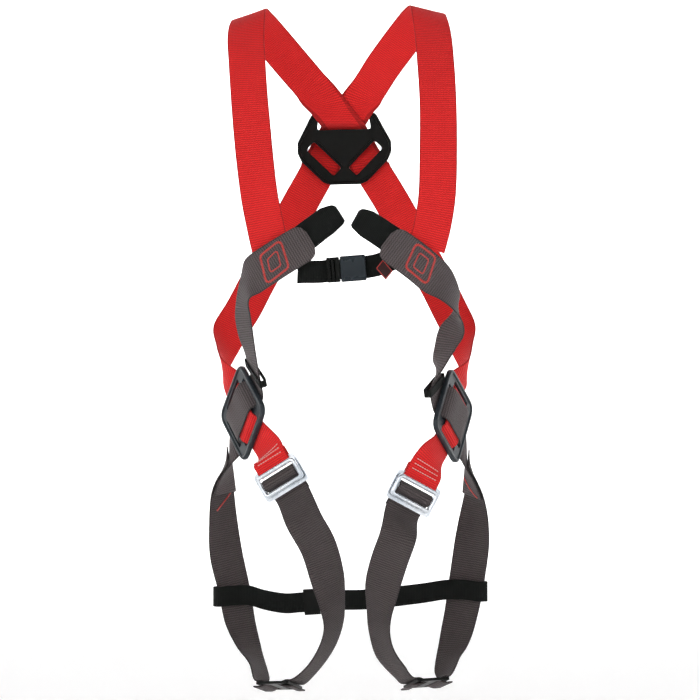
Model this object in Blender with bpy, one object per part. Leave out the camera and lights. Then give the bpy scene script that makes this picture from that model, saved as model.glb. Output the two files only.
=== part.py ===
"""Full-body safety harness as it hangs on an upright wearer: webbing, plates, buckles and rings.

X runs to the wearer's left, -Y is the wearer's front, Z is up. The origin is midway between the
shoulder tops, so the whole harness lies below it. Every length in the tables is in millimetres.
"""
import math

import bmesh
import bpy
import numpy as np
from mathutils import Matrix, Vector

MM = 0.001
WEBBING_WIDTH = 45.0
WEBBING_THICK = 2.0
CHEST_STRAP_WIDTH = 27.0
LINK_STRAP_WIDTH = 25.0
SLEEVE_WIDTH = 30.0
SLEEVE_THICK = 3.4
STEPS = 3

DORSAL_CENTRE = Vector((-2.0, 105.0, -171.0))
DORSAL_THICK = 4.0
DORSAL_ROLL = 1.4
RING_WIRE = 8.0
RING_AXIS = Vector((-2.0, 112.0, -157.0))
RING_LEAN = 38.0

HIP_HALF_SIDE = 44.5
HIP_THICK = 4.0
SLOT_NEAR = 26.5
SLOT_FAR = 36.5
SLOT_HALF_LENGTH = 23.7

BUCKLE_AXIS_TILT = 4.6
SOCKET_LENGTH = 31.0
SOCKET_WIDTH = 31.0
SOCKET_DEPTH = 9.6

MATERIALS = {
    "red_webbing": ((0.70, 0.020, 0.022), 0.78, 0.0),
    "grey_webbing": ((0.085, 0.070, 0.072), 0.85, 0.0),
    "black_webbing": ((0.010, 0.011, 0.011), 0.85, 0.0),
    "black_plastic": ((0.010, 0.011, 0.010), 0.50, 0.0),
    "slate_plastic": ((0.045, 0.058, 0.070), 0.45, 0.0),
    "zinc_steel": ((0.72, 0.75, 0.80), 0.28, 1.0),
    "label_cloth": ((0.030, 0.012, 0.012), 0.80, 0.0),
}


def clear_scene():
    for old in list(bpy.data.objects):
        bpy.data.objects.remove(old, do_unlink=True)


def material(slot):
    found = bpy.data.materials.get(slot)
    if found:
        return found
    colour, roughness, metallic = MATERIALS[slot]
    made = bpy.data.materials.new(slot)
    made.use_nodes = True
    shader = made.node_tree.nodes["Principled BSDF"]
    shader.inputs["Base Color"].default_value = (*colour, 1.0)
    shader.inputs["Roughness"].default_value = roughness
    shader.inputs["Metallic"].default_value = metallic
    return made


def add_object(name, slot, bm, pivot=(0, 0, 0), smooth=True):
    """Makes the object from a mesh in millimetres, with its origin at the pivot point."""
    pivot = Vector(pivot)
    bmesh.ops.recalc_face_normals(bm, faces=bm.faces)
    bmesh.ops.translate(bm, verts=bm.verts, vec=-pivot)
    bmesh.ops.scale(bm, verts=bm.verts, vec=(MM, MM, MM))
    mesh = bpy.data.meshes.new(name)
    bm.to_mesh(mesh)
    bm.free()
    obj = bpy.data.objects.new(name, mesh)
    bpy.context.scene.collection.objects.link(obj)
    obj.location = pivot * MM
    mesh.materials.append(material(slot))
    if smooth:
        mesh.shade_smooth()
        mesh.set_sharp_from_angle(angle=math.radians(35))
    return obj


# ---------------------------------------------------------------- webbing

def station(x, y, z, ax, ay, az, width=None):
    """A point of a strap's centre line, with the direction across the strap."""
    across = Vector((ax, ay, az)).normalized()
    return (Vector((x, y, z)), across, width)


def turned(stations):
    """The same stations with the two edges exchanged."""
    return [(point, -across, width) for point, across, width in stations]


def smooth_path(stations, width, steps=STEPS):
    """Catmull-Rom points through the stations: rows of (centre, edge-to-edge vector)."""
    rows = []
    for point, across, own in stations:
        rows.append(np.concatenate([point, across * (own or width)]))
    rows = [2 * rows[0] - rows[1]] + rows + [2 * rows[-1] - rows[-2]]
    out = []
    for i in range(1, len(rows) - 2):
        p0, p1, p2, p3 = rows[i - 1], rows[i], rows[i + 1], rows[i + 2]
        for step in range(steps):
            t = step / steps
            out.append(0.5 * (2 * p1 + (p2 - p0) * t + (2 * p0 - 5 * p1 + 4 * p2 - p3) * t**2
                              + (3 * p1 - p0 - 3 * p2 + p3) * t**3))
    out.append(rows[-2])
    fixed = []
    for i, row in enumerate(out):
        lo, hi = stations[min(i // steps, len(stations) - 1)], stations[min(i // steps + 1, len(stations) - 1)]
        part = (i % steps) / steps
        length = (lo[2] or width) * (1 - part) + (hi[2] or width) * part
        fixed.append((Vector(row[:3]), Vector(row[3:]).normalized() * length))
    return fixed


def ribbon(name, slot, stations, width=WEBBING_WIDTH, thick=WEBBING_THICK, steps=STEPS):
    """A strap of rectangular section that follows the stations."""
    rows = smooth_path(stations, width, steps)
    bm = bmesh.new()
    rings = []
    for i, (centre, across) in enumerate(rows):
        ahead = rows[min(i + 1, len(rows) - 1)][0] - rows[max(i - 1, 0)][0]
        normal = ahead.cross(across).normalized() * thick / 2
        corners = [centre - across / 2 - normal, centre + across / 2 - normal,
                   centre + across / 2 + normal, centre - across / 2 + normal]
        rings.append([bm.verts.new(c) for c in corners])
    for a, b in zip(rings, rings[1:]):
        for j in range(4):
            bm.faces.new((a[j], a[(j + 1) % 4], b[(j + 1) % 4], b[j]))
    bm.faces.new(rings[0][::-1])
    bm.faces.new(rings[-1])
    return add_object(name, slot, bm)


def path_in_plane(origin, along, out, across, points, width=None):
    """Stations of a strap that bends in one plane, given as (distance along, distance out)."""
    made = []
    for a, n in points:
        made.append((origin + along * a + out * n, across.normalized(), width))
    return made


# ---------------------------------------------------------------- flat plates

def plate_mesh(outline, holes, low, high, frame):
    """An extruded outline with openings cut through it, placed by the frame matrix."""
    def prism(points, z0, z1):
        bm = bmesh.new()
        bottom = [bm.verts.new((x, y, z0)) for x, y in points]
        top = [bm.verts.new((x, y, z1)) for x, y in points]
        bm.faces.new(bottom[::-1])
        bm.faces.new(top)
        for i in range(len(points)):
            j = (i + 1) % len(points)
            bm.faces.new((bottom[i], bottom[j], top[j], top[i]))
        bmesh.ops.recalc_face_normals(bm, faces=bm.faces)
        mesh = bpy.data.meshes.new("prism")
        bm.to_mesh(mesh)
        bm.free()
        obj = bpy.data.objects.new("prism", mesh)
        bpy.context.scene.collection.objects.link(obj)
        return obj

    body = prism(outline, low, high)
    cutters = [prism(points, low - 5, high + 5) for points in holes]
    for cutter in cutters:
        cut = body.modifiers.new("cut", "BOOLEAN")
        cut.operation = "DIFFERENCE"
        cut.solver = "EXACT"
        cut.object = cutter
    graph = bpy.context.evaluated_depsgraph_get()
    bm = bmesh.new()
    bm.from_object(body, graph)
    bmesh.ops.remove_doubles(bm, verts=bm.verts, dist=0.001)
    bmesh.ops.transform(bm, matrix=frame, verts=bm.verts)
    for helper in [body] + cutters:
        bpy.data.objects.remove(helper, do_unlink=True)
    return bm


def rounded(points, radius, corner_steps=3):
    """The outline with each corner replaced by an arc of the given radius."""
    out = []
    count = len(points)
    for i, point in enumerate(points):
        here = Vector(point)
        before = (Vector(points[i - 1]) - here)
        after = (Vector(points[(i + 1) % count]) - here)
        turn = before.angle(after)
        r = radius[i] if isinstance(radius, (list, tuple)) else radius
        reach = min(r / math.tan(turn / 2), before.length * 0.49, after.length * 0.49)
        start = here + before.normalized() * reach
        end = here + after.normalized() * reach
        for step in range(corner_steps + 1):
            t = step / corner_steps
            out.append((start * (1 - t) + here * t) * (1 - t) + (here * (1 - t) + end * t) * t)
    return [(p.x, p.y) for p in out]


def rectangle(cx, cy, half_x, half_y, angle=0.0):
    turn = Matrix.Rotation(math.radians(angle), 2)
    corners = [(-half_x, -half_y), (half_x, -half_y), (half_x, half_y), (-half_x, half_y)]
    return [tuple(turn @ Vector(c) + Vector((cx, cy))) for c in corners]


def frame_matrix(origin, x_axis, y_axis):
    x_axis = Vector(x_axis).normalized()
    z_axis = x_axis.cross(Vector(y_axis)).normalized()
    y_axis = z_axis.cross(x_axis)
    matrix = Matrix((x_axis, y_axis, z_axis)).transposed().to_4x4()
    matrix.translation = Vector(origin)
    return matrix


def box_mesh(low, high, frame=None):
    bm = bmesh.new()
    bmesh.ops.create_cube(bm, size=1.0)
    size = [h - l for l, h in zip(low, high)]
    middle = [(h + l) / 2 for l, h in zip(low, high)]
    bmesh.ops.scale(bm, verts=bm.verts, vec=size)
    bmesh.ops.translate(bm, verts=bm.verts, vec=middle)
    if frame is not None:
        bmesh.ops.transform(bm, matrix=frame, verts=bm.verts)
    return bm


# ---------------------------------------------------------------- hip plates: place and weave

class HipPlate:
    """The plate at one hip: p runs along the red strap, q along the grey strap, n outwards."""

    def __init__(self, side, centre, turn, lean):
        self.side = side
        self.centre = Vector(centre)
        turn = math.radians(turn)
        lean = math.radians(lean)
        self.out = Vector((side * math.sin(turn), -math.cos(turn), 0))
        front = Vector((-side * math.cos(turn), -math.sin(turn), 0))
        up = Vector((0, 0, 1))
        self.p = front * math.sin(lean) - up * math.cos(lean)
        self.q = -front * math.cos(lean) - up * math.sin(lean)

    def red_path(self):
        """From behind the upper rear bar, over the centre, to behind the lower front bar."""
        points = [(-52, -5.2), (-43, -4.8), (-36, -4.2), (-31.5, 0), (-27, 4.0), (-20, 4.6), (0, 4.6),
                  (20, 4.6), (27, 4.0), (31.5, 0), (36, -4.2), (43, -4.8)]
        return path_in_plane(self.centre, self.p, self.out, self.q, points)

    def grey_path(self):
        """From behind the upper front bar, over the red strap, to behind the lower rear bar."""
        points = [(-43, -4.9), (-36, -4.6), (-31.6, 0), (-27.6, 5.2), (-20, 7.6), (0, 7.6),
                  (20, 7.6), (27.6, 5.2), (31.6, 0), (36, -4.6), (43, -4.9)]
        return path_in_plane(self.centre, self.q, self.out, self.p, points)

    def build(self, name):
        h = HIP_HALF_SIDE
        mid = (SLOT_NEAR + SLOT_FAR) / 2
        half = (SLOT_FAR - SLOT_NEAR) / 2
        outline = rounded([(-h, -h), (h, -h), (h, h), (-h, h)], 15, 4)
        holes = []
        for sign in (-1, 1):
            holes.append(rounded(rectangle(sign * mid, 0, half, SLOT_HALF_LENGTH), 2.0, 2))
            holes.append(rounded(rectangle(0, sign * mid, SLOT_HALF_LENGTH, half), 2.0, 2))
        frame = frame_matrix(self.centre, self.p, self.q)
        bm = plate_mesh(outline, holes, -HIP_THICK / 2, HIP_THICK / 2, frame)
        return add_object(name, "slate_plastic", bm)


RIGHT_HIP = HipPlate(-1, (-126, -15, -502), 62, 50)
LEFT_HIP = HipPlate(1, (131, -15, -506), 65, 36)


# ---------------------------------------------------------------- thigh buckles: place and weave

class ThighBuckle:
    """Two steel frames: u runs across the webbing, v down the thigh, n outwards."""

    def __init__(self, centre, across, out):
        self.centre = Vector(centre)
        self.out = Vector(out).normalized()
        self.u = (Vector(across) - self.out * Vector(across).dot(self.out)).normalized()
        self.v = self.out.cross(self.u)
        if self.v.z > 0:
            self.v = -self.v

    def red_path(self):
        points = [(-38, -5.6), (-28, -4.2), (-20, -3.6), (-15.4, -3.4), (-11.9, -4.0), (-10.9, -7.0),
                  (-11.9, -10.0), (-15.4, -10.9),
                  (-21, -10.8), (-32, -10.4), (-42, -9.8)]
        return path_in_plane(self.centre, self.v, self.out, self.u, points)

    def grey_path(self):
        points = [(40, -17), (26, -13.6), (15.5, -12.6), (10.2, -9.4), (7.2, -4.6), (5.2, 0.4), (0, 4.1),
                  (-5.2, 0.4), (-6.4, -5.6), (-3.4, -12.6), (4, -16.2), (16, -17), (26, -18)]
        return path_in_plane(self.centre, self.v, self.out, self.u, points)

    def build(self, name):
        frame = frame_matrix(self.centre, self.u, self.v)
        if frame.to_3x3().col[2].dot(self.out) < 0:
            frame = frame @ Matrix.Diagonal((-1, 1, -1, 1))
        outline = rounded(rectangle(0, 0, 30, 19), 5, 3)
        rear = plate_mesh(outline, [rounded(rectangle(0, 0, 24, 13), 2, 2)], -9, -5, frame)
        add_object(name + "_rear_frame", "zinc_steel", rear)
        outline = rounded(rectangle(0, 0, 28, 14.5), 4.5, 3)
        holes = [rounded(rectangle(0, sign * 5.75, 23.2, 3.95), 1.2, 2) for sign in (-1, 1)]
        front = plate_mesh(outline, holes, -1.6, 1.8, frame)
        add_object(name + "_front_frame", "zinc_steel", front, self.centre)


RIGHT_BUCKLE = ThighBuckle((-80, -72, -579), (-0.83, 0.22, -0.52), (-0.25, -0.96, 0.0))
LEFT_BUCKLE = ThighBuckle((83, -72, -598), (0.83, 0.22, -0.46), (0.22, -0.97, 0.0))


# ---------------------------------------------------------------- shoulder straps

RIGHT_FRONT = [
    station(-89, -103.2, -308, 0.97, 0, 0.24),
    station(-95.5, -102.4, -280, 0.98, 0, 0.20),
    station(-103, -99, -243, 0.99, 0, 0.14),
    station(-109, -91, -197, 1, 0, 0.10),
    station(-116, -74, -124, 1, 0, 0.06),
    station(-120, -52, -73, 1, 0, 0.04),
    station(-122, -34, -45, 1, -0.02, 0.05),
    station(-121, -15, -23, 0.98, -0.16, 0.16),
    station(-118, 6, -12, 0.906, -0.305, 0.290),
]
RIGHT_BACK = [
    station(-110, 28, -19, 0.84, -0.26, 0.47),
    station(-95, 52, -35, 0.80, -0.12, 0.58),
    station(-68, 80, -65, 0.77, -0.04, 0.64),
    station(-45, 91.5, -91, 0.77, 0, 0.64),
]
RIGHT_DORSAL = [
    station(-13.4, 98.6, -129, 1, 0, 0, 58),
    station(-8.4, 99.4, -135, 1, 0, 0, 58),
    station(-4.3, 104.5, -140, 1, 0, 0, 58),
    station(-1, 111, -144.5, 1, 0, 0, 57),
    station(3, 116.4, -150, 1, 0, 0, 56),
    station(7, 118.6, -157, 1, 0, 0, 55),
    station(13, 117, -167, 1, 0, 0, 54),
    station(24, 112.4, -183, 1, 0, 0, 53),
]
LEFT_FLANK = [
    station(37, 111, -203, -0.87, 0.06, -0.49),
    station(59, 108, -239, -0.87, 0.10, -0.48),
    station(87, 99, -291, -0.88, 0.10, -0.47),
    station(117, 86, -347, -0.88, 0.14, -0.45),
    station(131, 76, -376, -0.87, 0.20, -0.45),
    station(143, 64, -402, -0.82, 0.36, -0.45),
    station(147.5, 49, -427, -0.45, 0.74, -0.50),
    station(150, 31, -452, 0.0, 0.80, -0.60),
]
LEFT_FRONT = [
    station(96.5, -103.2, -303, -0.95, 0, 0.30),
    station(103, -102.4, -279, -0.97, 0, 0.22),
    station(109, -98, -242, -0.99, 0, 0.10),
    station(111, -89, -185, -1, 0, 0.00),
    station(111, -73, -124, -1, 0, 0.00),
    station(108, -47, -63, -1, 0, 0.02),
    station(106, -30, -37, -1, -0.02, 0.05),
    station(103, -12, -17, -0.98, -0.12, 0.12),
    station(100, 7, -6, -0.95, -0.21, 0.21),
]
LEFT_BACK = [
    station(92, 28, -12, -0.90, -0.18, 0.38),
    station(79, 50, -27, -0.86, -0.10, 0.50),
    station(46, 82, -69, -0.83, -0.04, 0.555),
    station(28, 97, -96, -0.83, 0, 0.555),
]
LEFT_DORSAL = [
    station(5.5, 101.4, -127, -1, 0, 0, 55),
    station(2.2, 101.8, -132, -1, 0, 0, 55),
    station(-1, 106.6, -137.4, -1, 0, 0, 55),
    station(-4.5, 114.2, -142, -1, 0, 0, 55),
    station(-8, 119.4, -148, -1, 0, 0, 55),
    station(-13, 121.6, -157, -1, 0, 0, 55),
    station(-19, 120.2, -167, -1, 0, 0, 54),
    station(-28, 115.6, -183, -1, 0, 0, 53),
]
RIGHT_FLANK = [
    station(-38, 111, -203, 0.87, 0.06, -0.49),
    station(-58, 108, -239, 0.87, 0.10, -0.48),
    station(-82, 99, -285, 0.88, 0.10, -0.47),
    station(-110, 86, -337, 0.88, 0.16, -0.46),
    station(-129, 75, -374, 0.88, 0.20, -0.45),
    station(-146, 62, -403, 0.85, 0.30, -0.45),
    station(-151, 48, -428, 0.45, 0.76, -0.48),
    station(-152.5, 31, -450, 0.0, 0.80, -0.60),
]

RIGHT_THIGH = [station(-97, -53, -545, -0.55, 0.50, -0.62)]
LEFT_THIGH = [station(108, -55, -553, 0.50, 0.55, -0.60)]


def shoulder_strap(name, front, back, dorsal, flank, hip, thigh, buckle):
    """Chest, over the shoulder, across the back, round the far hip and down to the thigh buckle."""
    sign = 1 if buckle.u.dot(thigh[0][1]) > 0 else -1
    end = [(point, across * sign, width) for point, across, width in buckle.red_path()]
    lower = flank + hip.red_path() + thigh + end
    stations = front + back + dorsal + turned(lower)
    return ribbon(name, "red_webbing", stations)


# ---------------------------------------------------------------- side straps and leg loops

RIGHT_SIDE = [
    station(-42, -109.5, -292.5, 0.50, 0, -0.86),
    station(-71, -109.5, -310, 0.53, 0, -0.85),
    station(-93, -109, -324, 0.53, 0, -0.85),
    station(-109, -103, -335, 0.48, -0.20, -0.85),
    station(-119, -93, -348, 0.30, -0.74, -0.60),
    station(-124, -83, -365, 0.34, -0.92, -0.18),
    station(-124, -76, -384, 0.44, -0.90, 0.0),
    station(-121, -67, -405, 0.42, -0.90, 0.04),
    station(-116, -60, -427, 0.32, -0.94, 0.0),
    station(-112.5, -53, -446, 0.32, -0.90, -0.26),
]
LEFT_SIDE = [
    station(48, -110, -293.5, -0.60, 0, -0.80),
    station(67, -109.5, -307, -0.60, 0, -0.80),
    station(86, -109, -321, -0.60, 0, -0.80),
    station(104, -103, -336, -0.60, -0.14, -0.79),
    station(121, -92, -350, -0.44, -0.64, -0.64),
    station(133, -76, -368, -0.20, -0.90, -0.40),
    station(135, -60, -386, 0.25, -0.93, -0.30),
    station(128, -50, -403, 0.62, -0.75, -0.22),
    station(121, -45, -421, 0.55, -0.82, -0.05),
    station(113, -46, -442, 0.28, -0.94, -0.14),
    station(109, -51, -462, -0.28, -0.86, -0.42),
]
RIGHT_REAR_TOP = [
    station(-143, 15, -556, 0.05, -0.88, -0.48),
    station(-148.5, 30, -580, -0.35, -0.88, -0.30),
    station(-151, 41, -604, -0.60, -0.79, -0.12),
]
LEFT_REAR_TOP = [
    station(148.5, 22, -560, -0.05, -0.88, -0.48),
    station(153.5, 33, -583, 0.25, -0.92, -0.32),
    station(157, 42, -607, 0.50, -0.84, -0.18),
]

RIGHT_REAR_LEG = [
    station(-153, 51, -642, 0.76, 0.64, 0.04),
    station(-149.5, 55.5, -681, 0.88, 0.46, -0.05),
    station(-139.5, 57, -725, 0.86, 0.46, -0.22),
    station(-131, 53, -764, 0.76, 0.56, -0.33),
    station(-120, 43, -794, 0.60, 0.70, -0.38),
    station(-108, 26, -822, 0.36, 0.86, -0.36),
]
LEFT_REAR_LEG = [
    station(159, 51, -644, -0.84, 0.54, 0.08),
    station(156, 57, -677, -0.97, 0.22, 0.08),
    station(150, 58, -718, -0.97, 0.20, -0.10),
    station(144, 55, -752, -0.92, 0.34, -0.20),
    station(137, 47, -784, -0.82, 0.48, -0.30),
    station(128, 32, -812, -0.56, 0.74, -0.36),
]
RIGHT_FRONT_LEG = [
    station(-54, -80, -632, 0.86, 0.10, 0.48),
    station(-36.5, -77, -662, 0.87, 0.20, 0.42),
    station(-24, -69, -698, 0.86, 0.38, 0.28),
    station(-16, -56, -730, 0.66, 0.75, 0.06),
    station(-14.5, -42, -758, 0.44, 0.88, -0.14),
    station(-23, -29, -787, 0.32, 0.92, -0.22),
    station(-40, -16, -814, 0.22, 0.94, -0.26),
]
LEFT_FRONT_LEG = [
    station(63, -83, -648, -0.86, 0.08, 0.42),
    station(52, -76, -680, -0.90, 0.14, 0.36),
    station(44, -66, -710, -0.90, 0.36, 0.20),
    station(40, -52, -740, -0.66, 0.75, 0.04),
    station(41, -38, -771, -0.50, 0.85, -0.12),
    station(50, -26, -799, -0.44, 0.86, -0.26),
    station(66, -14, -820, -0.30, 0.90, -0.32),
]


class LegAdjuster:
    """The bar slide under the thigh where the two leg straps meet: u to the inner thigh."""

    def __init__(self, side, centre, along, across):
        self.side = side
        self.centre = Vector(centre)
        self.u = Vector(along).normalized()
        across = Vector(across)
        self.w = (across - self.u * across.dot(self.u)).normalized()
        self.up = self.u.cross(self.w)
        if self.up.z < 0:
            self.up = -self.up

    def strap_path(self, end):
        """Over the outer bar, down through the slot and back under it; end is -1 or +1."""
        points = [(end * 34, 5.2), (end * 24, 4.2), (end * 16, 3.6), (end * 9.6, 0.0),
                  (end * 16, -3.6), (end * 26, -3.8)]
        return path_in_plane(self.centre, self.u, self.up, self.w, points)

    def build(self, name):
        frame = frame_matrix(self.centre, self.u, self.w)
        outline = rounded(rectangle(0, 0, 21, 28), 4, 3)
        holes = [rounded(rectangle(sign * 9.6, 0, 4.4, 23.6), 1.5, 2) for sign in (-1, 1)]
        bm = plate_mesh(outline, holes, -1.7, 1.7, frame)
        return add_object(name, "black_plastic", bm)


RIGHT_ADJUSTER = LegAdjuster(-1, (-82, 4, -838), (0.93, -0.32, 0.05), (0.28, 0.93, -0.24))
LEFT_ADJUSTER = LegAdjuster(1, (99, 6, -835), (-0.92, -0.34, -0.02), (-0.30, 0.90, -0.26))


def matched(stations, across):
    """The stations with their edges in the same order as the given direction."""
    return [(p, a if a.dot(across) > 0 else -a, w) for p, a, w in stations]


def side_strap(name, side, hip, rear_top):
    entry = matched(hip.grey_path(), side[-1][1])
    rest = matched(rear_top, entry[-1][1])
    return ribbon(name, "grey_webbing", side + entry + rest)


def lapped(stations, gap, away):
    """The stations moved off their own surface, so that a second strap can lie against the first."""
    moved = []
    for i, (point, across, width) in enumerate(stations):
        run = stations[min(i + 1, len(stations) - 1)][0] - stations[max(i - 1, 0)][0]
        normal = run.cross(across).normalized()
        if normal.dot(Vector(away)) < 0:
            normal = -normal
        moved.append((point + normal * gap, across, width))
    return moved


def rear_leg_strap(name, side, rear_top, leg, adjuster):
    """It starts lapped outside the end of the side strap, where the two are sewn together."""
    start = matched(lapped(rear_top, 4.8, (side, 0.3, 0)), leg[0][1])
    end = matched(adjuster.strap_path(-1), leg[-1][1])
    return ribbon(name, "grey_webbing", start + leg + end, steps=4)


def front_leg_strap(name, buckle, leg, adjuster):
    start = matched(buckle.grey_path()[::-1], leg[0][1])
    end = matched(adjuster.strap_path(1), leg[-1][1])
    return ribbon(name, "grey_webbing", start + leg + end)


# ---------------------------------------------------------------- chest loops and chest strap

RIGHT_LOOP = [
    station(-54, -105.8, -293, -0.54, 0, 0.84),
    station(-44, -106.2, -286, -0.56, 0, 0.83),
    station(-33, -111.0, -278.5, -0.56, 0, 0.83),
    station(-21, -113.2, -270, -0.56, 0, 0.83),
    station(-10, -110.8, -263.6, -0.54, 0, 0.84),
    station(-7.5, -105.4, -263, -0.54, 0, 0.84),
    station(-12, -100.8, -265, -0.54, 0, 0.84),
    station(-23, -99.0, -272, -0.56, 0, 0.83),
    station(-36, -99.2, -282, -0.56, 0, 0.83),
    station(-48, -100.2, -292, -0.56, 0, 0.83),
]
LEFT_LOOP = [
    station(60, -105.8, -296, 0.54, 0, 0.84),
    station(49, -106.2, -289.5, 0.52, 0, 0.85),
    station(37, -111.0, -282, 0.50, 0, 0.86),
    station(25, -113.2, -274.5, 0.48, 0, 0.87),
    station(14.5, -110.8, -268.5, 0.48, 0, 0.87),
    station(12.0, -105.4, -268, 0.48, 0, 0.87),
    station(17, -100.8, -270, 0.48, 0, 0.87),
    station(27, -99.0, -276, 0.48, 0, 0.87),
    station(39, -99.2, -284, 0.50, 0, 0.86),
    station(50, -100.2, -292, 0.52, 0, 0.85),
]
RIGHT_CHEST_STRAP = [
    station(-58, -96, -332, 0.03, 0, 1),
    station(-52, -96.4, -331.5, 0.02, 0, 1),
    station(-40, -98.4, -331.5, 0.02, 0, 1),
    station(-24.4, -100, -331.5, 0.05, 0, 1),
]
LEFT_CHEST_STRAP = [
    station(26.4, -100, -325.2, -0.08, 0, 1),
    station(38, -97.0, -323, -0.16, 0, 1),
    station(50, -94.8, -318.5, -0.30, 0, 1),
    station(62, -94.2, -313, -0.40, 0, 1),
]

CHEST_TURN = math.radians(BUCKLE_AXIS_TILT)
CHEST_ALONG = Vector((math.cos(CHEST_TURN), 0, math.sin(CHEST_TURN)))
CHEST_UP = Vector((-math.sin(CHEST_TURN), 0, math.cos(CHEST_TURN)))
CHEST_MOUTH = Vector((-5.0, -100.0, -328.4))
CHEST_FRAME = frame_matrix(CHEST_MOUTH, CHEST_ALONG, CHEST_UP)


def solid_from_boxes(base, cuts, joins, frame, bevel=0.0):
    """A block with blocks cut from it and others joined to it, each given as (low, high)."""
    def block(low, high, edge):
        bm = box_mesh(low, high)
        if edge:
            bmesh.ops.bevel(bm, geom=bm.edges[:], offset=edge, segments=2, affect="EDGES", profile=0.5)
        mesh = bpy.data.meshes.new("block")
        bm.to_mesh(mesh)
        bm.free()
        obj = bpy.data.objects.new("block", mesh)
        bpy.context.scene.collection.objects.link(obj)
        return obj

    body = block(*base, bevel)
    helpers = []
    for operation, boxes in (("UNION", joins), ("DIFFERENCE", cuts)):
        for low, high in boxes:
            helper = block(low, high, 0.0)
            change = body.modifiers.new("change", "BOOLEAN")
            change.operation = operation
            change.solver = "EXACT"
            change.object = helper
            helpers.append(helper)
    graph = bpy.context.evaluated_depsgraph_get()
    bm = bmesh.new()
    bm.from_object(body, graph)
    bmesh.ops.remove_doubles(bm, verts=bm.verts, dist=0.001)
    bmesh.ops.transform(bm, matrix=frame, verts=bm.verts)
    for helper in [body] + helpers:
        bpy.data.objects.remove(helper, do_unlink=True)
    return bm


def chest_buckle():
    half = SOCKET_WIDTH / 2
    deep = SOCKET_DEPTH / 2
    socket = solid_from_boxes(
        ((-1.5, -half, -deep), (SOCKET_LENGTH - 2, half, deep)),
        [((-5, -12.8, -2.9), (23.4, 12.8, 2.9)), ((8.2, -20, -2.9), (22, 20, 2.9))],
        [], CHEST_FRAME, 1.6)
    add_object("chest_socket", "slate_plastic", socket)
    plug = solid_from_boxes(
        ((-17.6, -15, -3.6), (-2.2, 15, 3.6)),
        [((-13.6, -12.8, -6), (-12, 12.8, 6)), ((-9, -12.8, -6), (-7.4, 12.8, 6))],
        [((-3, -3.6, -1.8), (20.5, 3.6, 1.8)), ((-3, -12, -2.2), (1.2, 12, 2.2))],
        CHEST_FRAME, 1.0)
    add_object("chest_plug", "black_plastic", plug)
    for name, sign in (("chest_prong_upper", 1), ("chest_prong_lower", -1)):
        points = [(1.7, 5.6), (18.6, 7.4), (20.6, 9.4), (19.6, 13.2), (14, 13.2), (13.2, 10.8), (1.7, 9.4)]
        outline = [(a, b * sign) for a, b in points]
        if sign < 0:
            outline = outline[::-1]
        prong = plate_mesh(outline, [], -1.9, 1.9, CHEST_FRAME)
        pivot = CHEST_FRAME @ Vector((1.7, 7.5 * sign, 0))
        add_object(name, "slate_plastic", prong, pivot, smooth=False)


# ---------------------------------------------------------------- dorsal plate and ring

def dorsal_plate():
    half = [(40, 46), (52, 23), (59.5, 9), (59.5, -4), (55, -14), (28, -41), (19, -44.5)]
    points = half + [(-x, z) for x, z in reversed(half)]
    outline = rounded(points, [7, 12, 9, 9, 7, 9, 8, 8, 9, 7, 9, 9, 12, 7], 2)
    holes = [rounded([(-34, 25), (34, 25), (32, 40), (-32, 40)], 3, 2)]
    for sign in (-1, 1):
        slot = rectangle(sign * 26.4, -11.5, 24, 7.2, sign * 45)
        holes.append(rounded(slot, 2.4, 2))
    turn = math.radians(DORSAL_ROLL)
    right = Vector((math.cos(turn), 0, math.sin(turn)))
    up = Vector((-math.sin(turn), 0, math.cos(turn)))
    frame = frame_matrix(DORSAL_CENTRE, right, up)
    bm = plate_mesh(outline, holes, -DORSAL_THICK / 2, DORSAL_THICK / 2, frame)
    add_object("dorsal_plate", "black_plastic", bm)


def dorsal_ring():
    """A flat D of round bar: its straight side is the hinge axis, and it hangs leaning off the straps."""
    lean = math.radians(RING_LEAN)
    half = [(0, 0), (26, 0), (42, 0), (47, 1.8), (49.5, 7), (49.5, 20), (45.5, 33), (34, 43.5), (18, 48.5),
            (0, 49.5)]
    path = [(x, drop * math.sin(lean), -drop * math.cos(lean)) for x, drop in half]
    mirrored = [(-x, y, z) for x, y, z in reversed(path[1:-1])]
    centre_line = [Vector(p) for p in path + mirrored]
    count = len(centre_line)
    bm = bmesh.new()
    rings = []
    sides = 10
    for i, point in enumerate(centre_line):
        ahead = (centre_line[(i + 1) % count] - centre_line[i - 1]).normalized()
        inward = Vector((0, 22 * math.sin(lean), -22 * math.cos(lean))) - point
        inward = (inward - ahead * inward.dot(ahead)).normalized()
        other = ahead.cross(inward)
        ring = []
        for step in range(sides):
            angle = 2 * math.pi * step / sides
            offset = (inward * math.cos(angle) + other * math.sin(angle)) * RING_WIRE / 2
            ring.append(bm.verts.new(RING_AXIS + point + offset))
        rings.append(ring)
    for i in range(count):
        a, b = rings[i], rings[(i + 1) % count]
        for j in range(sides):
            bm.faces.new((a[j], a[(j + 1) % sides], b[(j + 1) % sides], b[j]))
    add_object("dorsal_ring", "zinc_steel", bm, RING_AXIS)


# ---------------------------------------------------------------- small fittings

def band(name, slot, centre, along, across, inner, outer, length, pivot=None):
    """A flat loop round a strap: inner and outer are (half width, half depth)."""
    along = Vector(along).normalized()
    across = Vector(across) - along * along.dot(Vector(across))
    frame = frame_matrix(centre, across, along.cross(across))
    outline = rounded(rectangle(0, 0, *outer), 1.2, 2)
    hole = rounded(rectangle(0, 0, *inner), 0.5, 1)
    bm = plate_mesh(outline, [hole], -length / 2, length / 2, frame)
    return add_object(name, slot, bm, pivot or (0, 0, 0))


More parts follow.
